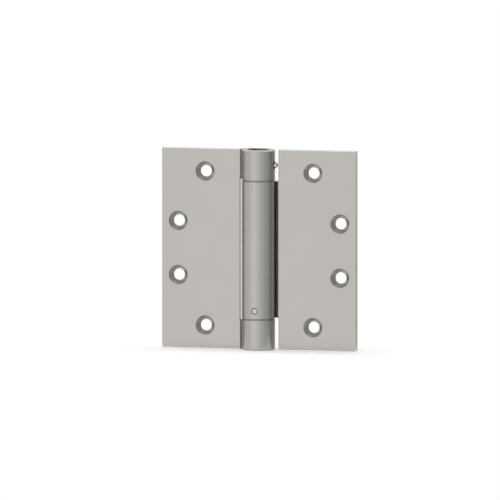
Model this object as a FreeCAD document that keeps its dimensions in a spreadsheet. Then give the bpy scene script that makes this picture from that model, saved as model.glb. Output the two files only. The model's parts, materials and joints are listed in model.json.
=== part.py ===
import FreeCAD, Part
import math
import os
from types import SimpleNamespace

import Sketcher
from FreeCAD import Placement, Rotation, Vector

# Full-mortise spring hinge, open flat, with its torsion spring and tension adjuster inside the barrel.
# Millimetres. +Z up, +X towards the door leaf, the countersunk faces look along -Y.
# The origin is on the pivot axis at half the leaves' height.

SIZES = {
    # Leaves: plates whose inner edges are cranked back and curled round the pivot axis
    "leaf_height": 114.3,
    "leaf_reach": 57.15,  # pivot axis to a leaf's outer edge
    "leaf_thickness": 3.4,
    "face_setback": 0.79,  # pivot axis to the leaf faces: half the gap between closed leaves
    "crank_angle": 45,  # from the leaf face down into the groove beside the barrel
    "outer_bend_radius": 4.0,
    "inner_bend_radius": 0.8,
    "seam_gap": 0.3,  # between the end of the curl and the crank it meets
    "edge_break": 0.3,  # round the outline of the leaf faces
    # Barrel
    "barrel_diameter": 19.05,
    "end_knuckle_length": 17.05,
    "knuckle_gap": 1.1,
    "frame_edge_clearance": 1.7,  # barrel to the frame leaf's edge beside it
    "door_edge_clearance": 1.95,  # barrel to the door leaf's edge, which also passes the tension pin
    "rim_chamfer": 0.6,
    # Screw holes, a zigzag of two pairs in each leaf
    "screw_hole_diameter": 6.5,
    "countersink_diameter": 11.2,
    "countersink_angle": 82,
    "end_pair_spacing": 88.09,
    "end_pair_inset": 25.4,  # from the outer edge
    "middle_pair_spacing": 30.94,
    "middle_pair_inset": 9.525,
    # Fits
    "fit_clearance": 0.05,  # radial, shafts and bushes in their bores
    "end_play": 0.05,
    "overcut": 1.0,  # how far a cut runs past the surface it opens
    # Tension slot in the top knuckle, and the pin that stands in it
    "slot_height": 4.7,
    "slot_below_top": 8.8,
    "slot_arc": 8,  # between the centres of its round ends
    "tension_pin_diameter": 3.0,
    "tension_pin_chamfer": 0.5,
    "pin_tip_clearance": 0.2,  # to the door leaf's edge, which swings past the tip
    # Adjusting collar
    "collar_recess": 1.6,
    "collar_chamfer": 0.4,
    "key_width": 5.0,  # across the flats of the hexagon socket
    "key_depth": 4.5,
    "collar_hole_count": 6,
    "collar_hole_bottom": 2.8,  # from the pivot axis
    # Bearings
    "bush_wall": 1.225,
    "bush_length": 8.0,
    "washer_inset": 0.25,  # below the barrel's surface
    # Torsion spring, close-wound from flat wire, with its ends bent in across the axis
    "wire_thickness": 1.05,
    "spring_turns": 8,
    "turn_groove_depth": 0.3,  # between turns, where the wire's edges are rounded
    "spring_clearance": 0.3,
    "tang_height": 4.0,
    "tang_clearance": 0.1,
    "stub_length": 6.0,  # forked ends of the collar and the spindle, inside the coil
    # Lower spindle and the pin that holds it in the centre knuckle
    "spindle_plug_length": 14.0,
    "retaining_pin_diameter": 3.2,
    "retaining_pin_length": 9.0,
    "retaining_pin_above_end": 4.4,  # from the centre knuckle's lower end
    "retaining_pin_recess": 0.1,
    "retaining_pin_chamfer": 0.35,
    "retaining_hole_clearance": 0.4,  # beyond the pin's inner end
    "retaining_hole_mouth": 4.0,
    "retaining_hole_angle": 60,
    # Plug in the bottom bore
    "bottom_plug_length": 4.0,
    "bottom_plug_recess": 0.3,
    "bottom_plug_chamfer": 0.5,
}

doc = FreeCAD.newDocument("spring_hinge")
sheet = doc.addObject("Spreadsheet::Sheet", "Sizes")
for row, (alias, amount) in enumerate(SIZES.items(), start=1):
    sheet.set(f"A{row}", alias)
    sheet.set(f"B{row}", str(amount))
    sheet.setAlias(f"B{row}", alias)
doc.recompute()


class Size:
    """A length or an angle: the expression that drives the model, and its number for a first draft."""

    def __init__(self, text, number):
        self.text = text
        self.number = number

    def __add__(self, other):
        return Size(f"({self.text} + {other.text})", self.number + other.number)

    def __sub__(self, other):
        return Size(f"({self.text} - {other.text})", self.number - other.number)

    def __mul__(self, factor):
        return Size(f"({self.text} * {factor})", self.number * factor)

    def __truediv__(self, divisor):
        return Size(f"({self.text} / {divisor})", self.number / divisor)

    def __neg__(self):
        return self * -1


ZERO = Size("0", 0.0)
size = SimpleNamespace(**{alias: Size(f"Sizes.{alias}", float(sheet.get(alias))) for alias in SIZES})

# Heights and radii that several pieces share
half_height = size.leaf_height / 2
barrel_radius = size.barrel_diameter / 2
bore_radius = barrel_radius - size.leaf_thickness
snug_radius = bore_radius - size.fit_clearance
bush_bore_radius = snug_radius - size.bush_wall
journal_radius = bush_bore_radius - size.fit_clearance
frame_edge = barrel_radius + size.frame_edge_clearance
door_edge = barrel_radius + size.door_edge_clearance
end_knuckle_inner = half_height - size.end_knuckle_length
centre_knuckle_half = end_knuckle_inner - size.knuckle_gap
washer_thickness = size.knuckle_gap - size.end_play
slot_level = half_height - size.slot_below_top
coil_outer = bore_radius - size.spring_clearance
coil_inner = coil_outer - size.wire_thickness
stub_radius = coil_inner - size.spring_clearance
tang_slot_width = size.wire_thickness + size.tang_clearance * 2
upper_journal_end = centre_knuckle_half - size.bush_length
lower_journal_end = -end_knuckle_inner - size.bush_length
spindle_plug_top = size.spindle_plug_length - centre_knuckle_half
spring_bottom = spindle_plug_top + size.spring_clearance
spring_top = upper_journal_end - size.spring_clearance
retaining_pin_level = size.retaining_pin_above_end - centre_knuckle_half
retaining_pin_end = size.retaining_pin_length + size.retaining_pin_recess - barrel_radius


def bind(thing, **properties):
    """Tie properties of a document object to the sheet."""
    for name, driver in properties.items():
        thing.setExpression(name, driver.text)


def origin_feature(body, role):
    return next(feature for feature in body.Origin.OriginFeatures if feature.Role == role)


def sketch_on(body, role, name, offset=ZERO):
    """A sketch on one of the body's origin planes, moved along that plane's normal."""
    sketch = body.newObject("Sketcher::SketchObject", name)
    sketch.AttachmentSupport = (origin_feature(body, role), [""])
    sketch.MapMode = "FlatFace"
    sketch.setExpression("AttachmentOffset.Base.z", offset.text)
    return sketch


def dimension(sketch, kind, *where, to):
    """Add a driving dimension to a sketch and tie it to the sheet. An angle starts in radians."""
    start = math.radians(to.number) if kind == "Angle" else to.number
    index = sketch.addConstraint(Sketcher.Constraint(kind, *where, start))
    sketch.setExpression(f"Constraints[{index}]", to.text)


def hold_point(sketch, edge, point, x, y):
    dimension(sketch, "DistanceX", -1, 1, edge, point, to=x)
    dimension(sketch, "DistanceY", -1, 1, edge, point, to=y)


def circle(sketch, x, y, radius):
    edge = sketch.addGeometry(Part.Circle(Vector(x.number, y.number, 0), Vector(0, 0, 1), radius.number))
    hold_point(sketch, edge, 3, x, y)
    dimension(sketch, "Radius", edge, to=radius)


def polygon(sketch, corners):
    """A closed outline of straight lines through corners given as pairs of sizes."""
    points = [Vector(x.number, y.number, 0) for x, y in corners]
    following = points[1:] + points[:1]
    edges = [sketch.addGeometry(Part.LineSegment(*ends)) for ends in zip(points, following)]
    for edge, next_edge in zip(edges, edges[1:] + edges[:1]):
        sketch.addConstraint(Sketcher.Constraint("Coincident", edge, 2, next_edge, 1))
    for edge, (x, y) in zip(edges, corners):
        hold_point(sketch, edge, 1, x, y)


def rectangle(sketch, left, right, bottom, top):
    polygon(sketch, [(left, bottom), (right, bottom), (right, top), (left, top)])


def feature(body, kind, name, profile, **properties):
    """A feature made from a sketch, with its sizes tied to the sheet."""
    made = body.newObject(f"PartDesign::{kind}", name)
    made.Profile = profile
    bind(made, **properties)
    return made


def revolve(body, name, sketch):
    made = feature(body, "Revolution", name, sketch)
    made.ReferenceAxis = (sketch, ["V_Axis"])
    made.Angle = 360
    return made


def polar_copies(body, name, original, angle, count):
    """Copies of a feature spread about the pivot axis over an angle."""
    pattern = body.newObject("PartDesign::PolarPattern", name)
    pattern.Originals = [original]
    pattern.Axis = (origin_feature(body, "Z_Axis"), [""])
    bind(pattern, Angle=angle, Occurrences=count)
    body.Tip = pattern
    return pattern


def round_edges(body, radius, z_levels):
    """Names of the edges of a radius about the pivot axis that lie at one of the levels."""
    doc.recompute()
    found = []
    for number, edge in enumerate(body.Shape.Edges, start=1):
        if not isinstance(edge.Curve, Part.Circle) or abs(edge.Curve.Radius - radius.number) > 1e-4:
            continue
        if any(abs(edge.CenterOfMass.z - level.number) < 1e-4 for level in z_levels):
            found.append(f"Edge{number}")
    if not found:
        raise ValueError(f"{body.Label} has no round edge of radius {radius.number}")
    return found


def upright_edges(body, places):
    """Names of the straight edges along Z that stand on one of the places."""
    doc.recompute()
    found = []
    for number, edge in enumerate(body.Shape.Edges, start=1):
        middle = edge.CenterOfMass
        is_upright = isinstance(edge.Curve, Part.Line) and abs(edge.Curve.Direction.z) > 0.999
        if is_upright and any(math.hypot(middle.x - at.x, middle.y - at.y) < 1e-4 for at in places):
            found.append(f"Edge{number}")
    if not found:
        raise ValueError(f"{body.Label} has no upright edge there")
    return found


def outline_edges(body, inner_edge, knuckles):
    """Names of the edges round a leaf's face, without the lines where it bends into its knuckles."""
    doc.recompute()
    spans = [(lower_end.number, lower_end.number + length.number) for lower_end, length in knuckles]
    found = []
    for number, edge in enumerate(body.Shape.Edges, start=1):
        if not isinstance(edge.Curve, Part.Line):
            continue
        on_face = all(abs(end.Y - size.face_setback.number) < 1e-4 for end in edge.Vertexes)
        middle = edge.CenterOfMass
        at_bend = abs(middle.x + inner_edge.number) < 1e-4
        if on_face and not (at_bend and any(low < middle.z < high for low, high in spans)):
            found.append(f"Edge{number}")
    if not found:
        raise ValueError(f"{body.Label} has no edges round its face")
    return found


def dress(body, kind, name, edges, **properties):
    """A chamfer or fillet on named edges of the body as it stands."""
    base = body.Tip
    made = body.newObject(f"PartDesign::{kind}", name)
    made.Base = (base, edges)
    bind(made, **properties)
    doc.recompute()
    return made


def crank_corners(inner_edge):
    """Where a -X leaf's plate bends before it curls: on its face, in the groove, and at its back."""
    setback = size.face_setback.number
    thickness = size.leaf_thickness.number
    slope = math.radians(size.crank_angle.number)
    face_rise = bore_radius.number - setback
    back_rise = barrel_radius.number - setback - thickness
    back_shift = thickness * math.tan(slope / 2)
    face_end = Vector(-inner_edge.number, setback, 0)
    back_end = Vector(-inner_edge.number - back_shift, setback + thickness, 0)
    return SimpleNamespace(
        face_end=face_end,
        groove=face_end + Vector(face_rise / math.tan(slope), face_rise, 0),
        back_end=back_end,
        back_bend=back_end + Vector(back_rise / math.tan(slope), back_rise, 0),
    )


def curl_profile(sketch, inner_edge):
    """The cranked and curled inner edge of a leaf that lies on the -X side, seen along the pivot axis."""
    bends = crank_corners(inner_edge)
    bore = bore_radius.number
    barrel = barrel_radius.number
    slope = math.radians(size.crank_angle.number)
    crank_to_axis = math.sin(slope) * inner_edge.number + math.cos(slope) * size.face_setback.number
    curl_end = slope + math.pi - math.asin((crank_to_axis - size.seam_gap.number) / barrel)
    curl_inner = Vector(bore * math.cos(curl_end), bore * math.sin(curl_end), 0)
    curl_outer = Vector(barrel * math.cos(curl_end), barrel * math.sin(curl_end), 0)
    bore_circle = Part.Circle(Vector(0, 0, 0), Vector(0, 0, 1), bore)
    barrel_circle = Part.Circle(Vector(0, 0, 0), Vector(0, 0, 1), barrel)
    full_turn_to_back = 2.5 * math.pi

    outline = [
        Part.LineSegment(bends.face_end, bends.groove),
        Part.LineSegment(bends.groove, Vector(0, bore, 0)),
        Part.ArcOfCircle(bore_circle, curl_end, full_turn_to_back),
        Part.LineSegment(curl_inner, curl_outer),
        Part.ArcOfCircle(barrel_circle, curl_end, full_turn_to_back),
        Part.LineSegment(Vector(0, barrel, 0), bends.back_bend),
        Part.LineSegment(bends.back_bend, bends.back_end),
        Part.LineSegment(bends.back_end, bends.face_end),
    ]
    edges = sketch.addGeometry(outline)
    crank, bore_land, bore_arc, curl_tip, barrel_arc, back_land, back_crank, root = edges
    joined = [
        (crank, 2, bore_land, 1),
        (bore_land, 2, bore_arc, 2),
        (bore_arc, 1, curl_tip, 1),
        (curl_tip, 2, barrel_arc, 1),
        (barrel_arc, 2, back_land, 1),
        (back_land, 2, back_crank, 1),
        (back_crank, 2, root, 1),
        (root, 2, crank, 1),
        (bore_arc, 3, -1, 1),
        (barrel_arc, 3, -1, 1),
    ]
    for pair in joined:
        sketch.addConstraint(Sketcher.Constraint("Coincident", *pair))
    for land in (bore_land, back_land):
        sketch.addConstraint(Sketcher.Constraint("Horizontal", land))
    sketch.addConstraint(Sketcher.Constraint("PointOnObject", bore_land, 2, -2))
    sketch.addConstraint(Sketcher.Constraint("PointOnObject", back_land, 1, -2))
    sketch.addConstraint(Sketcher.Constraint("PointOnObject", -1, 1, curl_tip))
    sketch.addConstraint(Sketcher.Constraint("Parallel", crank, back_crank))
    dimension(sketch, "Radius", bore_arc, to=bore_radius)
    dimension(sketch, "Radius", barrel_arc, to=barrel_radius)
    dimension(sketch, "Distance", curl_tip, 2, crank, to=size.seam_gap)
    dimension(sketch, "DistanceX", crank, 1, -1, 1, to=inner_edge)
    dimension(sketch, "DistanceY", -1, 1, crank, 1, to=size.face_setback)
    dimension(sketch, "Angle", crank, to=size.crank_angle)
    dimension(sketch, "DistanceY", -1, 1, back_crank, 2, to=size.face_setback + size.leaf_thickness)
    dimension(sketch, "Distance", back_crank, 2, crank, to=size.leaf_thickness)


def leaf(label, inner_edge, knuckles):
    """A leaf on the -X side: flat plate up to an inner edge, knuckles as (lower end, length), screw holes."""
    body = doc.addObject("PartDesign::Body", label)
    plate = sketch_on(body, "XY_Plane", f"{label}_plate")
    rectangle(plate, -size.leaf_reach, -inner_edge,
              size.face_setback, size.face_setback + size.leaf_thickness)
    feature(body, "Pad", f"{label}_plate_pad", plate, Length=size.leaf_height).SideType = "Symmetric"
    for number, (lower_end, length) in enumerate(knuckles, start=1):
        curl = sketch_on(body, "XY_Plane", f"{label}_curl_{number}", offset=lower_end)
        curl_profile(curl, inner_edge)
        feature(body, "Pad", f"{label}_knuckle_{number}", curl, Length=length)
    bends = crank_corners(inner_edge)
    dress(body, "Fillet", f"{label}_outer_bends", upright_edges(body, [bends.back_bend]),
          Radius=size.outer_bend_radius)
    dress(body, "Fillet", f"{label}_inner_bends", upright_edges(body, [bends.groove, bends.back_end]),
          Radius=size.inner_bend_radius)
    dress(body, "Chamfer", f"{label}_broken_edges", outline_edges(body, inner_edge, knuckles),
          Size=size.edge_break)

    # The front plane's normal looks along -Y, so a positive setback is a negative offset
    screws = sketch_on(body, "XZ_Plane", f"{label}_screw_places", offset=-size.face_setback)
    pairs = [(size.end_pair_inset, size.end_pair_spacing), (size.middle_pair_inset, size.middle_pair_spacing)]
    for inset, spacing in pairs:
        for level in (spacing / 2, -spacing / 2):
            circle(screws, inset - size.leaf_reach, level, size.screw_hole_diameter / 2)
    doc.recompute()
    countersunk_holes(body, f"{label}_screw_holes", screws, size.screw_hole_diameter,
                      size.countersink_diameter, size.countersink_angle).DepthType = "ThroughAll"
    doc.recompute()
    return body


def countersunk_holes(body, name, sketch, diameter, mouth, angle):
    holes = feature(body, "Hole", name, sketch, Diameter=diameter)
    holes.HoleCutType = "Countersink"
    holes.HoleCutCustomValues = True
    holes.DrillPoint = "Flat"
    bind(holes, HoleCutDiameter=mouth, HoleCutCountersinkAngle=angle)
    return holes


def frame_leaf():
    """The leaf with the top and bottom knuckles; the tension slot opens the side of the top one."""
    lower_ends = (-half_height, end_knuckle_inner)
    body = leaf("frame_leaf", frame_edge, [(lower_end, size.end_knuckle_length) for lower_end in lower_ends])

    end_hole = sketch_on(body, "YZ_Plane", "slot_end")
    circle(end_hole, ZERO, slot_level, size.slot_height / 2)
    end_cut = feature(body, "Pocket", "slot_end_cut", end_hole, Length=barrel_radius + size.overcut)
    end_cut.Reversed = True
    polar_copies(body, "slot_ends", end_cut, size.slot_arc, Size("2", 2))
    doc.recompute()

    side = sketch_on(body, "XZ_Plane", "slot_side")
    rectangle(side, bore_radius - size.overcut, barrel_radius + size.overcut,
              slot_level - size.slot_height / 2, slot_level + size.slot_height / 2)
    slot = feature(body, "Groove", "slot_cut", side, Angle=size.slot_arc)
    slot.ReferenceAxis = (side, ["V_Axis"])
    rims = round_edges(body, barrel_radius, (half_height, -half_height))
    dress(body, "Chamfer", "chamfered_rims", rims, Size=size.rim_chamfer)
    return body


def door_leaf():
    """The leaf with the centre knuckle, the same way up as the other and turned about Y to the +X side."""
    body = leaf("door_leaf", door_edge, [(-centre_knuckle_half, centre_knuckle_half * 2)])
    mouth = sketch_on(body, "XZ_Plane", "retaining_hole_place", offset=barrel_radius)
    hole_diameter = size.retaining_pin_diameter + size.fit_clearance * 2
    circle(mouth, ZERO, -retaining_pin_level, hole_diameter / 2)
    doc.recompute()
    hole = countersunk_holes(body, "retaining_hole", mouth, hole_diameter,
                             size.retaining_hole_mouth, size.retaining_hole_angle)
    bind(hole, Depth=size.leaf_thickness + size.overcut)
    body.Placement = Placement(Vector(0, 0, 0), Rotation(Vector(0, 1, 0), 180))
    doc.recompute()
    return body


def forked_stub(body, name, end, upwards):
    """The slot across a stub's end that takes the spring's tang."""
    slot = sketch_on(body, "XY_Plane", f"{name}_place", offset=end)
    reach = stub_radius + size.overcut
    rectangle(slot, -reach, reach, -tang_slot_width / 2, tang_slot_width / 2)
    cut = feature(body, "Pocket", name, slot, Length=size.stub_length)
    cut.Reversed = upwards


def adjusting_collar():
    """Collar in the top bore: hexagon socket, ring of pin holes, journal and forked stub."""
    body = doc.addObject("PartDesign::Body", "adjusting_collar")
    top = half_height - size.collar_recess
    shoulder = centre_knuckle_half + size.knuckle_gap
    stub_end = upper_journal_end - size.stub_length
    outline = sketch_on(body, "XZ_Plane", "collar_outline")
    polygon(outline, [
        (ZERO, stub_end),
        (stub_radius, stub_end),
        (stub_radius, upper_journal_end),
        (journal_radius, upper_journal_end),
        (journal_radius, shoulder),
        (snug_radius, shoulder),
        (snug_radius, top - size.collar_chamfer),
        (snug_radius - size.collar_chamfer, top),
        (ZERO, top),
    ])
    revolve(body, "collar_turned", outline)

    socket = sketch_on(body, "XY_Plane", "key_socket_place", offset=top)
    corner_turns = [math.radians(60 * corner) for corner in range(6)]
    to_corner = size.key_width / math.sqrt(3)
    polygon(socket, [(to_corner * math.cos(turn), to_corner * math.sin(turn)) for turn in corner_turns])
    feature(body, "Pocket", "key_socket", socket, Length=size.key_depth)
    forked_stub(body, "collar_tang_slot", stub_end, upwards=True)

    hole = sketch_on(body, "YZ_Plane", "pin_hole_place", offset=size.collar_hole_bottom)
    circle(hole, ZERO, slot_level, size.tension_pin_diameter / 2 + size.fit_clearance)
    hole_cut = feature(body, "Pocket", "pin_hole", hole, Length=snug_radius)
    hole_cut.Reversed = True
    polar_copies(body, "pin_holes", hole_cut, Size("360", 360.0), size.collar_hole_count)
    doc.recompute()
    return body


def lower_spindle():
    """Spindle pinned in the centre knuckle: forked stub above, journal in the bottom knuckle below."""
    body = doc.addObject("PartDesign::Body", "lower_spindle")
    stub_end = spindle_plug_top + size.stub_length
    outline = sketch_on(body, "XZ_Plane", "spindle_outline")
    polygon(outline, [
        (ZERO, lower_journal_end),
        (journal_radius, lower_journal_end),
        (journal_radius, -centre_knuckle_half),
        (snug_radius, -centre_knuckle_half),
        (snug_radius, spindle_plug_top),
        (stub_radius, spindle_plug_top),
        (stub_radius, stub_end),
        (ZERO, stub_end),
    ])
    revolve(body, "spindle_turned", outline)
    forked_stub(body, "spindle_tang_slot", stub_end, upwards=False)
    hole_bottom = retaining_pin_end + size.retaining_hole_clearance
    hole = sketch_on(body, "XZ_Plane", "spindle_hole_place", offset=-hole_bottom)
    circle(hole, ZERO, retaining_pin_level, size.retaining_pin_diameter / 2 + size.fit_clearance)
    hole_cut = feature(body, "Pocket", "spindle_hole", hole, Length=barrel_radius)
    hole_cut.Reversed = True
    doc.recompute()
    return body


def torsion_spring():
    """Left-hand coil, so that turning the collar to add tension winds it tighter. Its turns touch."""
    body = doc.addObject("PartDesign::Body", "torsion_spring")
    wall = sketch_on(body, "XY_Plane", "coil_wall", offset=spring_bottom)
    circle(wall, ZERO, ZERO, coil_outer)
    circle(wall, ZERO, ZERO, coil_inner)
    feature(body, "Pad", "coil_pad", wall, Length=spring_top - spring_bottom)
    for end, lower_edge in (("lower", spring_bottom), ("upper", spring_top - size.tang_height)):
        tang = sketch_on(body, "YZ_Plane", f"{end}_tang_section", offset=-stub_radius)
        half_wire = size.wire_thickness / 2
        rectangle(tang, -half_wire, half_wire, lower_edge, lower_edge + size.tang_height)
        feature(body, "Pad", f"{end}_tang", tang, Length=stub_radius + coil_inner + half_wire)
    doc.recompute()

    # The groove starts half a turn below the coil and ends half a turn above it
    pitch = Size(f"({spring_top.text} - {spring_bottom.text}) / {size.spring_turns.text}",
                 (spring_top.number - spring_bottom.number) / size.spring_turns.number)
    groove = sketch_on(body, "XZ_Plane", "turn_groove_section")
    middle = spring_bottom - pitch / 2
    mouth = size.turn_groove_depth + size.overcut
    polygon(groove, [
        (coil_outer - size.turn_groove_depth, middle),
        (coil_outer + size.overcut, middle - mouth),
        (coil_outer + size.overcut, middle + mouth),
    ])
    turns = feature(body, "SubtractiveHelix", "turn_groove", groove)
    turns.ReferenceAxis = (groove, ["V_Axis"])
    turns.Mode = "pitch-turns-angle"
    turns.LeftHanded = True
    bind(turns, Pitch=pitch, Turns=size.spring_turns + Size("1", 1))
    doc.recompute()
    return body


def ring(label, outer, inner, lower_end, length):
    body = doc.addObject("PartDesign::Body", label)
    section = sketch_on(body, "XY_Plane", f"{label}_section", offset=lower_end)
    circle(section, ZERO, ZERO, outer)
    circle(section, ZERO, ZERO, inner)
    feature(body, "Pad", f"{label}_pad", section, Length=length)
    doc.recompute()
    return body


def rod(label, radius, length, chamfer):
    """A round rod along the body's own Z, chamfered at its far end."""
    body = doc.addObject("PartDesign::Body", label)
    section = sketch_on(body, "XY_Plane", f"{label}_section")
    circle(section, ZERO, ZERO, radius)
    feature(body, "Pad", f"{label}_pad", section, Length=length)
    dress(body, "Chamfer", f"{label}_chamfer", round_edges(body, radius, [length]), Size=chamfer)
    return body


def tension_pin():
    """Stub that stands in one of the collar's holes and sticks out through the slot."""
    tip = door_edge - size.pin_tip_clearance
    body = rod("tension_pin", size.tension_pin_diameter / 2, tip - size.collar_hole_bottom,
               size.tension_pin_chamfer)
    body.Placement = Placement(Vector(0, 0, 0), Rotation(Vector(0, 1, 0), 90))
    body.setExpression("Placement.Base.x", size.collar_hole_bottom.text)
    body.setExpression("Placement.Base.z", slot_level.text)
    return body


def retaining_pin():
    """Pin through the front of the centre knuckle into the spindle, its end just below the surface."""
    body = rod("retaining_pin", size.retaining_pin_diameter / 2, size.retaining_pin_length,
               size.retaining_pin_chamfer)
    body.Placement = Placement(Vector(0, 0, 0), Rotation(Vector(1, 0, 0), 90))
    body.setExpression("Placement.Base.y", retaining_pin_end.text)
    body.setExpression("Placement.Base.z", retaining_pin_level.text)
    return body


def bottom_plug():
    body = rod("bottom_plug", snug_radius, size.bottom_plug_length, size.bottom_plug_chamfer)
    top = size.bottom_plug_recess + size.bottom_plug_length - half_height
    body.Placement = Placement(Vector(0, 0, 0), Rotation(Vector(1, 0, 0), 180))
    body.setExpression("Placement.Base.z", top.text)
    return body


washer_radius = barrel_radius - size.washer_inset
pieces = [
    frame_leaf(),
    door_leaf(),
    adjusting_collar(),
    tension_pin(),
    torsion_spring(),
    lower_spindle(),
    retaining_pin(),
    bottom_plug(),
    ring("upper_bush", snug_radius, bush_bore_radius, upper_journal_end, size.bush_length),
    ring("lower_bush", snug_radius, bush_bore_radius, lower_journal_end, size.bush_length),
    ring("upper_thrust_washer", washer_radius, bush_bore_radius, centre_knuckle_half, washer_thickness),
    ring("lower_thrust_washer", washer_radius, bush_bore_radius, -end_knuckle_inner, washer_thickness),
]
doc.recompute()

for item in doc.Objects:
    if {"Invalid", "Error"} & set(item.State):
        raise RuntimeError(f"{item.Label} did not build: {item.State}")
for piece in pieces:
    if piece.Shape.isNull() or not piece.Shape.isValid() or len(piece.Shape.Solids) != 1:
        raise RuntimeError(f"{piece.Label} is not one valid solid")

os.makedirs("parts", exist_ok=True)
for piece in pieces:
    piece.Shape.exportStep(f"parts/{piece.Label}.step")
    print(f"{piece.Label}: {piece.Shape.Volume:.1f} mm3")
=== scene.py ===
import bpy
import json
import math
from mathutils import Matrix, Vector


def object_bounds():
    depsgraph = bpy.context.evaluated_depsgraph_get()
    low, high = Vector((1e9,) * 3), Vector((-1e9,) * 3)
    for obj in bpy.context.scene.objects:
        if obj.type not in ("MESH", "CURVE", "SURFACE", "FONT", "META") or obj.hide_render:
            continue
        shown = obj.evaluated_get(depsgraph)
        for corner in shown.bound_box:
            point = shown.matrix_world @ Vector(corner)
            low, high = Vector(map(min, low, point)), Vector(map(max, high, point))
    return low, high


# A spring butt hinge, open flat. Every piece is a CAD solid, and this script gives each one its metal or
# plastic. It adds a camera, a light tent and a floor, and no pieces.

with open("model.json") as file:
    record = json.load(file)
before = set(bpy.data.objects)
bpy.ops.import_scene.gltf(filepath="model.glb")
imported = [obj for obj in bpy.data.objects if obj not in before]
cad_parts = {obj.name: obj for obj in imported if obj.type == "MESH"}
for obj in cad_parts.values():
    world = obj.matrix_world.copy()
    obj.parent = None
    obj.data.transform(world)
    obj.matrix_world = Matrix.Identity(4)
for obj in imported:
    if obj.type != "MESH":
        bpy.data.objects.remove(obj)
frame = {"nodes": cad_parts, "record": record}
cad_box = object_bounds()
scene = bpy.context.scene
MM = 0.001

# A Mix node's sockets go by number: first those for colours, then those for plain values
COLOUR_A, COLOUR_B, COLOUR = 6, 7, 2
VALUE_A, VALUE_B, VALUE = 2, 3, 0
WAVE_STEP = math.tau / 20  # from wave to wave of a Wave texture at scale 1


def linear(hex_colour):
    """An sRGB hex colour as a linear RGBA tuple."""
    levels = [int(hex_colour[at:at + 2], 16) / 255 for at in (0, 2, 4)]
    return (*[v / 12.92 if v <= 0.04045 else ((v + 0.055) / 1.055) ** 2.4 for v in levels], 1.0)


def add(tree, kind, links=None, inputs=None, **settings):
    """Add a node with its settings and its input values, and link its inputs to outputs of other nodes."""
    node = tree.nodes.new(kind)
    for name, value in settings.items():
        setattr(node, name, value)
    for name, value in (inputs or {}).items():
        node.inputs[name].default_value = value
    for name, output in (links or {}).items():
        tree.links.new(output, node.inputs[name])
    return node


def new_material(name):
    """An empty material with its tree and the Object coordinates that its patterns read."""
    material = bpy.data.materials.new(name)
    material.use_nodes = True
    tree = material.node_tree
    tree.nodes.clear()
    return material, tree, add(tree, "ShaderNodeTexCoord").outputs["Object"]


def worn_edges(tree, radius, sound, bare, most=1.0):
    """A normal that is rounded off at edges, and a mask of the wear there.

    The mask follows the cosine between the rounded normal and the surface's own. It is 0 from sound upwards
    and reaches most at bare.
    """
    soft_edge = add(tree, "ShaderNodeBevel", inputs={"Radius": radius}, samples=6)
    surface = add(tree, "ShaderNodeNewGeometry")
    turn = add(tree, "ShaderNodeVectorMath", {0: soft_edge.outputs["Normal"], 1: surface.outputs["Normal"]},
               operation="DOT_PRODUCT")
    wear = add(tree, "ShaderNodeMapRange", {"Value": turn.outputs["Value"]},
               {"From Min": sound, "From Max": bare, "To Max": most})
    return soft_edge.outputs["Normal"], wear.outputs["Result"]


def looked_at(tree):
    """1 for what is seen, straight from the camera or in metal or glass, and 0 for what only gives light."""
    ray = add(tree, "ShaderNodeLightPath")
    mirrored = add(tree, "ShaderNodeMath", {
        0: ray.outputs["Is Glossy Ray"], 1: ray.outputs["Is Transmission Ray"]}, operation="MAXIMUM")
    seen = add(tree, "ShaderNodeMath", {
        0: ray.outputs["Is Camera Ray"], 1: mirrored.outputs["Value"]}, operation="MAXIMUM")
    return seen.outputs["Value"]


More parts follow.
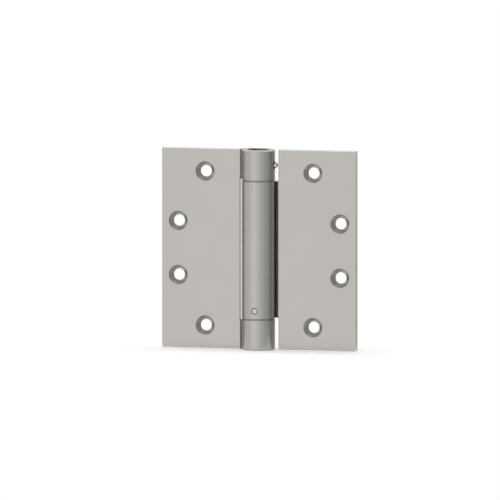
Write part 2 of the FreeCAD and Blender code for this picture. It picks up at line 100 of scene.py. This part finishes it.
def leaf_zones(tree, at):
    """Masks of the places on the leaves whose surface was made in another way than the ground faces; some of
    them carry painted light and shade.
    """
    across = add(tree, "ShaderNodeVectorMath", {0: at}, {1: (1, 1, 0)}, operation="MULTIPLY")
    from_pivot = add(tree, "ShaderNodeVectorMath", {0: across.outputs["Vector"]}, operation="LENGTH")
    place = add(tree, "ShaderNodeSeparateXYZ", {"Vector": at})
    facing = add(tree, "ShaderNodeTexCoord")
    towards = add(tree, "ShaderNodeVectorMath", {0: facing.outputs["Normal"]}, operation="ABSOLUTE")
    to_face = add(tree, "ShaderNodeSeparateXYZ", {"Vector": towards.outputs["Vector"]})

    # Slopes of about 45 degrees: those of the countersinks, the broken corners and the cranks
    slope, slope_margin = math.sin(math.radians(41)), 0.2
    sloped = add(tree, "ShaderNodeMath", {0: to_face.outputs["Y"]}, {1: slope, 2: slope_margin},
                 operation="COMPARE")

    # Sheared edges: beyond the barrel, and turned away from the plate's faces. Their pale tone is painted
    # light.
    barrel_reach = 9.8 * MM
    slanting, edge_on = 0.4, 0.1  # how far the surface still points at the faces
    on_plate = add(tree, "ShaderNodeMath", {0: from_pivot.outputs["Value"]}, {1: barrel_reach},
                   operation="GREATER_THAN")
    turned = add(tree, "ShaderNodeMapRange", {"Value": to_face.outputs["Y"]},
                 {"From Min": slanting, "From Max": edge_on})
    sheared_painted_light = add(tree, "ShaderNodeMath", {0: on_plate.outputs["Value"], 1: turned.outputs["Result"]},
                  operation="MULTIPLY")

    # Broken corners round the faces, which carry a painted highlight
    inner_edge, corner_level = 11.26 * MM, 1.2 * MM
    past_edge = add(tree, "ShaderNodeMath", {0: from_pivot.outputs["Value"]}, {1: inner_edge},
                    operation="GREATER_THAN")
    by_face = add(tree, "ShaderNodeMath", {0: place.outputs["Y"]}, {1: corner_level}, operation="LESS_THAN")
    at_corner = add(tree, "ShaderNodeMath", {0: past_edge.outputs["Value"], 1: by_face.outputs["Value"]},
                    operation="MULTIPLY")
    broken_corner_highlight = add(tree, "ShaderNodeMath", {0: at_corner.outputs["Value"], 1: sloped.outputs["Value"]},
                 operation="MULTIPLY")

    # Cranks beside the barrel
    crank_reach = 14 * MM
    by_barrel = add(tree, "ShaderNodeMath", {0: from_pivot.outputs["Value"]}, {1: crank_reach},
                    operation="LESS_THAN")
    in_bend = add(tree, "ShaderNodeMath", {0: on_plate.outputs["Value"], 1: by_barrel.outputs["Value"]},
                  operation="MULTIPLY")
    bent = add(tree, "ShaderNodeMath", {0: in_bend.outputs["Value"], 1: sloped.outputs["Value"]},
               operation="MULTIPLY")
    cranked = add(tree, "ShaderNodeMath", {0: bent.outputs["Value"], 1: broken_corner_highlight.outputs["Value"]},
                  operation="SUBTRACT", use_clamp=True)

    # Countersinks, whose darker tone is painted shade, and the crests of the rings in them. The two centres
    # stand for all eight holes, which lie evenly about the middle.
    end_hole, middle_hole = (31.75 * MM, 0, 44.045 * MM), (47.625 * MM, 0, 15.47 * MM)
    countersink_reach = 6 * MM
    cutter_ring = 0.6 * MM  # real rings are about 0.1 mm apart, too fine to show
    one_quarter = add(tree, "ShaderNodeVectorMath", {0: at}, operation="ABSOLUTE")
    in_face = add(tree, "ShaderNodeVectorMath", {0: one_quarter.outputs["Vector"]}, {1: (1, 0, 1)},
                  operation="MULTIPLY")
    to_end_hole = add(tree, "ShaderNodeVectorMath", {0: in_face.outputs["Vector"]}, {1: end_hole},
                      operation="DISTANCE")
    to_middle_hole = add(tree, "ShaderNodeVectorMath", {0: in_face.outputs["Vector"]}, {1: middle_hole},
                         operation="DISTANCE")
    to_hole = add(tree, "ShaderNodeMath", {
        0: to_end_hole.outputs["Value"], 1: to_middle_hole.outputs["Value"]}, operation="MINIMUM")
    at_hole = add(tree, "ShaderNodeMath", {0: to_hole.outputs["Value"]}, {1: countersink_reach},
                  operation="LESS_THAN")
    countersink_shade = add(tree, "ShaderNodeMath", {0: at_hole.outputs["Value"], 1: sloped.outputs["Value"]},
                      operation="MULTIPLY")
    ring_turns = add(tree, "ShaderNodeMath", {0: to_hole.outputs["Value"]}, {1: math.tau / cutter_ring},
                     operation="MULTIPLY")
    ring_wave = add(tree, "ShaderNodeMath", {0: ring_turns.outputs["Value"]}, operation="SINE")
    ring = add(tree, "ShaderNodeMapRange", {"Value": ring_wave.outputs["Value"]}, {"From Min": -1.0})
    crests = add(tree, "ShaderNodeMath", {0: countersink_shade.outputs["Value"], 1: ring.outputs["Result"]},
                 operation="MULTIPLY")

    # Walls of the tension slot, near black with painted shade
    slot_level, slot_height, slot_depth = 48.35 * MM, 4.8 * MM, 9.4 * MM
    at_slot = add(tree, "ShaderNodeMath", {0: place.outputs["Z"]}, {1: slot_level, 2: slot_height / 2},
                  operation="COMPARE")
    in_wall = add(tree, "ShaderNodeMath", {0: from_pivot.outputs["Value"]}, {1: slot_depth},
                  operation="LESS_THAN")
    slot_shade = add(tree, "ShaderNodeMath", {0: at_slot.outputs["Value"], 1: in_wall.outputs["Value"]},
                  operation="MULTIPLY")
    return [zone.outputs["Value"] for zone in (sheared_painted_light, broken_corner_highlight, cranked, countersink_shade, crests, slot_shade)]


def satin_chrome_plate():
    # Cold-rolled steel, belt-ground along the pivot and then satin chromium plated.
    # The eye sees an even warm grey with soft reflections, a grain that only shows close up, and sharp edges
    # that the tumbling before plating has left brighter. The sheared edges of the plates are rougher and
    # scatter more light; their near-white tone is painted light, and the near-white of the broken corners is
    # a painted highlight. The belt doesn't reach into the cranks, so they stay as dull as the rolled plate,
    # and the cutter's rings dull the countersinks, whose darker tone is painted shade. The tension slot's
    # walls are painted near black, as painted shade in the slot.
    material, tree, at = new_material("satin_chrome_plate")
    grain_width = 0.3 * MM  # real grinding lines are about 0.05 mm wide, too fine to show
    grain_length = 14 * MM
    cloud_size = 16 * MM
    stretched = add(tree, "ShaderNodeMapping", {"Vector": at},
                    {"Scale": (1 / grain_width, 1 / grain_width, 1 / grain_length)})
    grain = add(tree, "ShaderNodeTexNoise", {"Vector": stretched.outputs["Vector"]},
                {"Scale": 1.0, "Detail": 3.0, "Roughness": 0.6})
    bath_cloud = add(tree, "ShaderNodeTexNoise", {"Vector": at}, {"Scale": 1 / cloud_size, "Detail": 2.0})
    face_tone = add(tree, "ShaderNodeMix", {"Factor": bath_cloud.outputs["Fac"]},
                    {COLOUR_A: linear("BEBCBA"), COLOUR_B: linear("C2C0BE")}, data_type="RGBA")
    face_gloss = add(tree, "ShaderNodeMapRange", {"Value": grain.outputs["Fac"]},
                     {"From Min": 0.3, "From Max": 0.7, "To Min": 0.2, "To Max": 0.23})

    # Each zone's tone and roughness lie over those before it, and None leaves them as they are
    normal, worn = worn_edges(tree, 0.15 * MM, sound=0.99, bare=0.75)
    sheared_painted_light, broken_corner_highlight, cranked, countersink_shade, crests, slot_shade = leaf_zones(tree, at)
    tone = face_tone.outputs[COLOUR]
    roughness = face_gloss.outputs["Result"]
    for zone, zone_tone, zone_roughness in (
            (worn, "CBC9C7", 0.17),
            # sheared edges: the near-white tone is painted light on the edge faces, the higher roughness is
            # their own
            (sheared_painted_light, "EEECE9", 0.42),
            # broken corners: the near-white tone is a painted highlight
            (broken_corner_highlight, "EAE8E5", None),
            (cranked, None, 0.5),
            # countersinks: the darker tone is painted shade, the duller roughness is the cutter's
            (countersink_shade, "A4A29F", 0.3),
            (crests, "B8B6B3", None),
            # tension slot walls: the near black is painted shade in the slot
            (slot_shade, "2B2926", None)):
        if zone_tone:
            layer = add(tree, "ShaderNodeMix", {"Factor": zone, COLOUR_A: tone},
                        {COLOUR_B: linear(zone_tone)}, data_type="RGBA")
            tone = layer.outputs[COLOUR]
        if zone_roughness:
            layer = add(tree, "ShaderNodeMix", {"Factor": zone, VALUE_A: roughness},
                        {VALUE_B: zone_roughness})
            roughness = layer.outputs[VALUE]

    relief = add(tree, "ShaderNodeBump", {"Height": grain.outputs["Fac"], "Normal": normal},
                 {"Strength": 0.02, "Distance": 0.02 * MM})
    shader = add(tree, "ShaderNodeBsdfPrincipled", {
        "Base Color": tone,
        "Roughness": roughness,
        "Normal": relief.outputs["Normal"],
    }, {"Metallic": 1.0, "Specular Tint": linear("DDDCDB")})  # chromium shines less at a glancing angle
    add(tree, "ShaderNodeOutputMaterial", {"Surface": shader.outputs["BSDF"]})
    return material


def ground_bright_steel():
    # Hardened steel pins, ground bright and left bare under a film of oil.
    # The eye sees a cool, fairly sharp shine, crossed by fine grinding marks, with a slightly browner stain
    # here and there where the oil has dried.
    material, tree, at = new_material("ground_bright_steel")
    mark_width = 0.12 * MM  # real marks are a few hundredths wide, too fine to show
    stain_size = 2.5 * MM
    marks = add(tree, "ShaderNodeTexNoise", {"Vector": at}, {"Scale": 1 / mark_width, "Detail": 2.0})
    stain = add(tree, "ShaderNodeTexNoise", {"Vector": at}, {"Scale": 1 / stain_size, "Detail": 3.0})
    stained = add(tree, "ShaderNodeMapRange", {"Value": stain.outputs["Fac"]},
                  {"From Min": 0.5, "From Max": 0.75})
    tone = add(tree, "ShaderNodeMix", {"Factor": stained.outputs["Result"]},
               {COLOUR_A: linear("CFCECC"), COLOUR_B: linear("B9B3AA")}, data_type="RGBA")
    gloss = add(tree, "ShaderNodeMapRange", {"Value": marks.outputs["Fac"]},
                {"From Min": 0.3, "From Max": 0.7, "To Min": 0.16, "To Max": 0.26})
    soft_edge = add(tree, "ShaderNodeBevel", inputs={"Radius": 0.2 * MM}, samples=6)
    relief = add(tree, "ShaderNodeBump", {
        "Height": marks.outputs["Fac"], "Normal": soft_edge.outputs["Normal"],
    }, {"Strength": 0.06, "Distance": 0.01 * MM})
    shader = add(tree, "ShaderNodeBsdfPrincipled", {
        "Base Color": tone.outputs[COLOUR],
        "Roughness": gloss.outputs["Result"],
        "Normal": relief.outputs["Normal"],
    }, {"Metallic": 1.0})
    add(tree, "ShaderNodeOutputMaterial", {"Surface": shader.outputs["BSDF"]})
    return material


def phosphated_washer_steel():
    # Stamped steel washers with a phosphate coat, soaked in oil.
    # The eye sees a soft mid grey, speckled by the coat's fine crystals, and no clear reflections. The grey
    # is kept darker than the knuckles so that it paints the shade in the gaps between them.
    material, tree, at = new_material("phosphated_washer_steel")
    crystal_size = 0.2 * MM  # real crystals are about a hundredth of a millimetre, too fine to show
    oil_patch = 4 * MM
    crystals = add(tree, "ShaderNodeTexVoronoi", {"Vector": at}, {"Scale": 1 / crystal_size})
    oil = add(tree, "ShaderNodeTexNoise", {"Vector": at}, {"Scale": 1 / oil_patch, "Detail": 3.0})
    # the coat's greys are dark enough to paint the shade in the gaps between the knuckles
    coat_and_gap_shade = add(tree, "ShaderNodeMix", {"Factor": crystals.outputs["Distance"]},
               {COLOUR_A: linear("A6A39F"), COLOUR_B: linear("96938F")}, data_type="RGBA")
    tone = add(tree, "ShaderNodeMix", {"Factor": oil.outputs["Fac"], COLOUR_A: coat_and_gap_shade.outputs[COLOUR]},
               {COLOUR_B: linear("8D8A85")}, data_type="RGBA")
    gloss = add(tree, "ShaderNodeMapRange", {"Value": oil.outputs["Fac"]},
                {"From Min": 0.3, "From Max": 0.7, "To Min": 0.5, "To Max": 0.38})
    relief = add(tree, "ShaderNodeBump", {"Height": crystals.outputs["Distance"]},
                 {"Strength": 0.1, "Distance": 0.02 * MM})
    shader = add(tree, "ShaderNodeBsdfPrincipled", {
        "Base Color": tone.outputs[COLOUR],
        "Roughness": gloss.outputs["Result"],
        "Normal": relief.outputs["Normal"],
    }, {"Metallic": 1.0})
    add(tree, "ShaderNodeOutputMaterial", {"Surface": shader.outputs["BSDF"]})
    return material


def blackened_steel():
    # Turned steel, chemically blackened and oiled.
    # The eye sees a near-black brown-grey with a low shine, tool rings round the pivot, and rubbed edges
    # where the black has worn through to steel.
    material, tree, at = new_material("blackened_steel")
    ring_step = 0.25 * MM  # real tool rings are about 0.1 mm apart, too fine to show
    blotch_size = 3 * MM
    rings = add(tree, "ShaderNodeTexWave", {"Vector": at},
                {"Scale": WAVE_STEP / ring_step, "Distortion": 1.5, "Detail": 2.0},
                wave_type="RINGS", rings_direction="Z")
    blotch = add(tree, "ShaderNodeTexNoise", {"Vector": at}, {"Scale": 1 / blotch_size, "Detail": 4.0})
    normal, rubbed = worn_edges(tree, 0.25 * MM, sound=0.97, bare=0.72, most=0.8)
    black = add(tree, "ShaderNodeMix", {"Factor": blotch.outputs["Fac"]},
                {COLOUR_A: linear("262422"), COLOUR_B: linear("3A3633")}, data_type="RGBA")
    tone = add(tree, "ShaderNodeMix", {"Factor": rubbed, COLOUR_A: black.outputs[COLOUR]},
               {COLOUR_B: linear("8F8B86")}, data_type="RGBA")
    gloss = add(tree, "ShaderNodeMapRange", {"Value": blotch.outputs["Fac"]},
                {"From Min": 0.3, "From Max": 0.7, "To Min": 0.34, "To Max": 0.46})
    relief = add(tree, "ShaderNodeBump", {"Height": rings.outputs["Fac"], "Normal": normal},
                 {"Strength": 0.15, "Distance": 0.02 * MM})
    shader = add(tree, "ShaderNodeBsdfPrincipled", {
        "Base Color": tone.outputs[COLOUR],
        "Roughness": gloss.outputs["Result"],
        "Normal": relief.outputs["Normal"],
    }, {"Metallic": 1.0})
    add(tree, "ShaderNodeOutputMaterial", {"Surface": shader.outputs["BSDF"]})
    return material


def oil_tempered_wire():
    # Flat spring wire, rolled, hardened and tempered in oil.
    # The eye sees a dark straw-grey scale with blue-grey patches, drawn into streaks that run round the coil
    # with the wire.
    material, tree, at = new_material("oil_tempered_wire")
    streak_height, streak_length = 0.4 * MM, 6 * MM
    patch_size = 5 * MM
    along_wire = add(tree, "ShaderNodeMapping", {"Vector": at},
                     {"Scale": (1 / streak_length, 1 / streak_length, 1 / streak_height)})
    streaks = add(tree, "ShaderNodeTexNoise", {"Vector": along_wire.outputs["Vector"]},
                  {"Scale": 1.0, "Detail": 3.0, "Roughness": 0.6})
    patch = add(tree, "ShaderNodeTexNoise", {"Vector": at}, {"Scale": 1 / patch_size, "Detail": 2.0})
    scale = add(tree, "ShaderNodeMix", {"Factor": patch.outputs["Fac"]},
                {COLOUR_A: linear("6B655C"), COLOUR_B: linear("5A6066")}, data_type="RGBA")
    tone = add(tree, "ShaderNodeMix", {"Factor": streaks.outputs["Fac"], COLOUR_A: scale.outputs[COLOUR]},
               {COLOUR_B: linear("3B3835")}, data_type="RGBA")
    gloss = add(tree, "ShaderNodeMapRange", {"Value": streaks.outputs["Fac"]},
                {"From Min": 0.3, "From Max": 0.7, "To Min": 0.3, "To Max": 0.42})
    relief = add(tree, "ShaderNodeBump", {"Height": streaks.outputs["Fac"]},
                 {"Strength": 0.1, "Distance": 0.02 * MM})
    shader = add(tree, "ShaderNodeBsdfPrincipled", {
        "Base Color": tone.outputs[COLOUR],
        "Roughness": gloss.outputs["Result"],
        "Normal": relief.outputs["Normal"],
    }, {"Metallic": 1.0})
    add(tree, "ShaderNodeOutputMaterial", {"Surface": shader.outputs["BSDF"]})
    return material


def natural_acetal():
    # Acetal resin without pigment, turned from bar.
    # The eye sees a milky off-white, slightly see-through at thin edges, with a waxy shine and fine tool
    # rings.
    material, tree, at = new_material("natural_acetal")
    ring_step = 0.3 * MM  # real tool rings are about 0.1 mm apart, too fine to show
    mottle_size = 4 * MM
    rings = add(tree, "ShaderNodeTexWave", {"Vector": at},
                {"Scale": WAVE_STEP / ring_step, "Distortion": 0.5, "Detail": 2.0}, bands_direction="Z")
    mottle = add(tree, "ShaderNodeTexNoise", {"Vector": at}, {"Scale": 1 / mottle_size, "Detail": 3.0})
    tone = add(tree, "ShaderNodeMix", {"Factor": mottle.outputs["Fac"]},
               {COLOUR_A: linear("EEEAE0"), COLOUR_B: linear("E6E1D5")}, data_type="RGBA")
    gloss = add(tree, "ShaderNodeMapRange", {"Value": rings.outputs["Fac"]}, {"To Min": 0.34, "To Max": 0.44})
    relief = add(tree, "ShaderNodeBump", {"Height": rings.outputs["Fac"]},
                 {"Strength": 0.15, "Distance": 0.02 * MM})
    shader = add(tree, "ShaderNodeBsdfPrincipled", {
        "Base Color": tone.outputs[COLOUR],
        "Roughness": gloss.outputs["Result"],
        "Normal": relief.outputs["Normal"],
    }, {
        "IOR": 1.48,
        "Subsurface Weight": 0.3,
        "Subsurface Radius": (1.0, 0.9, 0.7),
        "Subsurface Scale": 0.8 * MM,
    })
    add(tree, "ShaderNodeOutputMaterial", {"Surface": shader.outputs["BSDF"]})
    return material


FINISHES = {
    "satin_steel": satin_chrome_plate(),
    "bright_steel": ground_bright_steel(),
    "washer_steel": phosphated_washer_steel(),
    "dark_steel": blackened_steel(),
    "spring_steel": oil_tempered_wire(),
    "bearing_plastic": natural_acetal(),
}
for part in frame["record"]["subparts"]:
    for slot in frame["nodes"][part["node"]].material_slots:
        slot.material = FINISHES[part["material_slot"]]

# Camera: far off with a long lens, since the photograph shows almost no perspective
AZIMUTH, ELEVATION = math.radians(15), math.radians(5)
LENS, SENSOR = 1500.0, 36.0
FRAME_WIDTH = 284.7 * MM  # what the frame takes in at the leaves' faces
FACE_SETBACK = 0.79 * MM  # from the pivot back to those faces
AIM_LEFT, AIM_DOWN = 5.07 * MM, 0.39 * MM  # from the pivot at half height to the middle of the frame
right = Vector((math.cos(AZIMUTH), math.sin(AZIMUTH), 0))
level_back = Vector((math.sin(AZIMUTH), -math.cos(AZIMUTH), 0))
back = level_back * math.cos(ELEVATION) + Vector((0, 0, math.sin(ELEVATION)))
up = back.cross(right)
target = Vector((0, FACE_SETBACK, 0)) - right * AIM_LEFT - up * AIM_DOWN
camera_data = bpy.data.cameras.new("camera")
camera_data.lens = LENS
camera_data.sensor_width = SENSOR
camera = bpy.data.objects.new("camera", camera_data)
scene.collection.objects.link(camera)
camera.location = target + back * FRAME_WIDTH * LENS / SENSOR
camera.rotation_euler = (-back).to_track_quat("-Z", "Y").to_euler()
scene.camera = camera

# Light tent: a round wall that the camera looks through. It is bright in front, softer on the left and shaded
# on the right, with a strip of light behind. It turns white above the hinge behind it, and all round near the
# top.
ROUND = 96  # sides of the tent and the floor
TENT_RADIUS, TENT_FOOT, TENT_TOP = 0.5, -0.25, 0.9
TENT_SEAM = -90  # degrees round from the front, as in the list
TENT_LEVELS = [  # degrees round from the front, towards the door leaf, and the light of the wall there
    (-90, 0.73), (-60, 0.75), (-43, 0.84), (-15, 1.0), (28, 0.7), (63, 0.5), (88, 0.4), (97, 0.36),
    (108, 0.26), (120, 0.19), (132, 0.14), (152, 0.12), (160, 1.0), (190, 1.0), (203, 0.3), (245, 0.3),
    (260, 0.54), (270, 0.73),
]
GREEN_SHARE, BLUE_SHARE = 0.985, 0.965  # of a bright wall's red, for a warm light
SHADE_SHARE = 0.04  # added to both as the wall darkens, for a cooler shade
WHITE_ABOVE, WHITE_BEHIND = (0.03, 0.08), (0.0, 0.2)  # heights and depths over which the back turns white
WHITE_TOP = (0.7, 0.9)  # heights over which the whole wall does


def lit_tent_cloth():
    """White cloth that is lit from outside, brighter in some places than in others."""
    material, tree, at = new_material("lit_tent_cloth")
    round_wall = add(tree, "ShaderNodeTexGradient", {"Vector": at}, gradient_type="RADIAL")
    levels = add(tree, "ShaderNodeValToRGB", {"Fac": round_wall.outputs["Fac"]})
    stops = levels.color_ramp.elements
    while len(stops) < len(TENT_LEVELS):
        stops.new(1.0)
    for stop, (degrees, level) in zip(stops, TENT_LEVELS):
        cooler = SHADE_SHARE * (1 - level)
        stop.position = (degrees - TENT_SEAM) / 360
        stop.color = (level, level * (GREEN_SHARE + cooler), level * (BLUE_SHARE + cooler), 1)
    place = add(tree, "ShaderNodeSeparateXYZ", {"Vector": at})
    upper, behind, top = [
        add(tree, "ShaderNodeMapRange", {"Value": place.outputs[axis]}, {"From Min": start, "From Max": end},
            interpolation_type="SMOOTHSTEP")
        for axis, (start, end) in (("Z", WHITE_ABOVE), ("Y", WHITE_BEHIND), ("Z", WHITE_TOP))
    ]
    upper_behind = add(tree, "ShaderNodeMath", {0: upper.outputs["Result"], 1: behind.outputs["Result"]},
                       operation="MULTIPLY")
    bright = add(tree, "ShaderNodeMath", {0: upper_behind.outputs["Value"], 1: top.outputs["Result"]},
                 operation="MAXIMUM")
    tone = add(tree, "ShaderNodeMix", {"Factor": bright.outputs["Value"], COLOUR_A: levels.outputs["Color"]},
               {COLOUR_B: linear("FFFFFF")}, data_type="RGBA")
    cloth = add(tree, "ShaderNodeEmission", {"Color": tone.outputs[COLOUR]})
    add(tree, "ShaderNodeOutputMaterial", {"Surface": cloth.outputs["Emission"]})
    return material


bpy.ops.object.select_all(action="DESELECT")
bpy.ops.mesh.primitive_cylinder_add(vertices=ROUND, radius=TENT_RADIUS, depth=TENT_TOP - TENT_FOOT,
                                    end_fill_type="NOTHING", location=(0, 0, (TENT_TOP + TENT_FOOT) / 2))
bpy.ops.object.transform_apply(location=True)
tent = bpy.context.object
tent.name = "light_tent"
tent.visible_camera = False
tent.data.materials.append(lit_tent_cloth())

# Pale floor just under the hinge: it keeps the shadow, fades out into the white surround close round the
# footprint, and can be seen through from below.
FLOOR_GAP = 0.1 * MM
FLOOR = cad_box[0][2] - FLOOR_GAP
FLOOR_RADIUS = 100 * MM
FLOOR_FADE = 30 * MM
FLOOR_LIFT = 0.28  # what the floor lacks of the surround's white where no shadow falls on it
FOOTPRINT_LENGTH, FOOTPRINT_DEPTH = cad_box[1][0] - cad_box[0][0], 6 * MM


def pale_floor_card():
    """Matt pale card that is lifted to white where it is seen."""
    material, tree, at = new_material("pale_floor_card")
    aside = add(tree, "ShaderNodeVectorMath", {0: at}, operation="ABSOLUTE")
    past = add(tree, "ShaderNodeVectorMath", {0: aside.outputs["Vector"]},
               {1: (FOOTPRINT_LENGTH / 2, FOOTPRINT_DEPTH / 2, abs(FLOOR))}, operation="SUBTRACT")
    outside = add(tree, "ShaderNodeVectorMath", {0: past.outputs["Vector"]}, operation="MAXIMUM")
    from_footprint = add(tree, "ShaderNodeVectorMath", {0: outside.outputs["Vector"]}, operation="LENGTH")
    fade = add(tree, "ShaderNodeMapRange", {"Value": from_footprint.outputs["Value"]},
               {"From Max": FLOOR_FADE}, interpolation_type="SMOOTHSTEP")
    surface = add(tree, "ShaderNodeNewGeometry")
    unseen = add(tree, "ShaderNodeMath", {0: fade.outputs["Result"], 1: surface.outputs["Backfacing"]},
                 operation="MAXIMUM")
    lift = add(tree, "ShaderNodeMath", {0: looked_at(tree)}, {1: FLOOR_LIFT}, operation="MULTIPLY")
    card = add(tree, "ShaderNodeBsdfDiffuse", inputs={"Color": linear("F4F3F1")})
    white = add(tree, "ShaderNodeEmission", {"Strength": lift.outputs["Value"]})
    lit = add(tree, "ShaderNodeAddShader", {0: card.outputs["BSDF"], 1: white.outputs["Emission"]})
    clear = add(tree, "ShaderNodeBsdfTransparent")
    seen = add(tree, "ShaderNodeMixShader", {
        "Fac": unseen.outputs["Value"], 1: lit.outputs["Shader"], 2: clear.outputs["BSDF"]})
    add(tree, "ShaderNodeOutputMaterial", {"Surface": seen.outputs["Shader"]})
    return material


bpy.ops.object.select_all(action="DESELECT")
bpy.ops.mesh.primitive_circle_add(vertices=ROUND, radius=FLOOR_RADIUS, fill_type="NGON",
                                  location=(0, 0, FLOOR))
bpy.ops.object.transform_apply(location=True)
floor = bpy.context.object
floor.name = "pale_floor"
floor.data.materials.append(pale_floor_card())

# White surround: full white where it is seen directly or mirrored, and softer as light from above
SURROUND_LIGHT, SURROUND_WHITE = 0.8, 1.0
world = bpy.data.worlds.new("white_surround")
world.use_nodes = True
scene.world = world
surround = world.node_tree
surround.nodes.clear()
strength = add(surround, "ShaderNodeMapRange", {"Value": looked_at(surround)},
               {"To Min": SURROUND_LIGHT, "To Max": SURROUND_WHITE})
sky = add(surround, "ShaderNodeBackground", {"Strength": strength.outputs["Result"]},
          {"Color": linear("FFFFFF")})
add(surround, "ShaderNodeOutputWorld", {"Surface": sky.outputs["Background"]})
scene.view_settings.view_transform = "Standard"
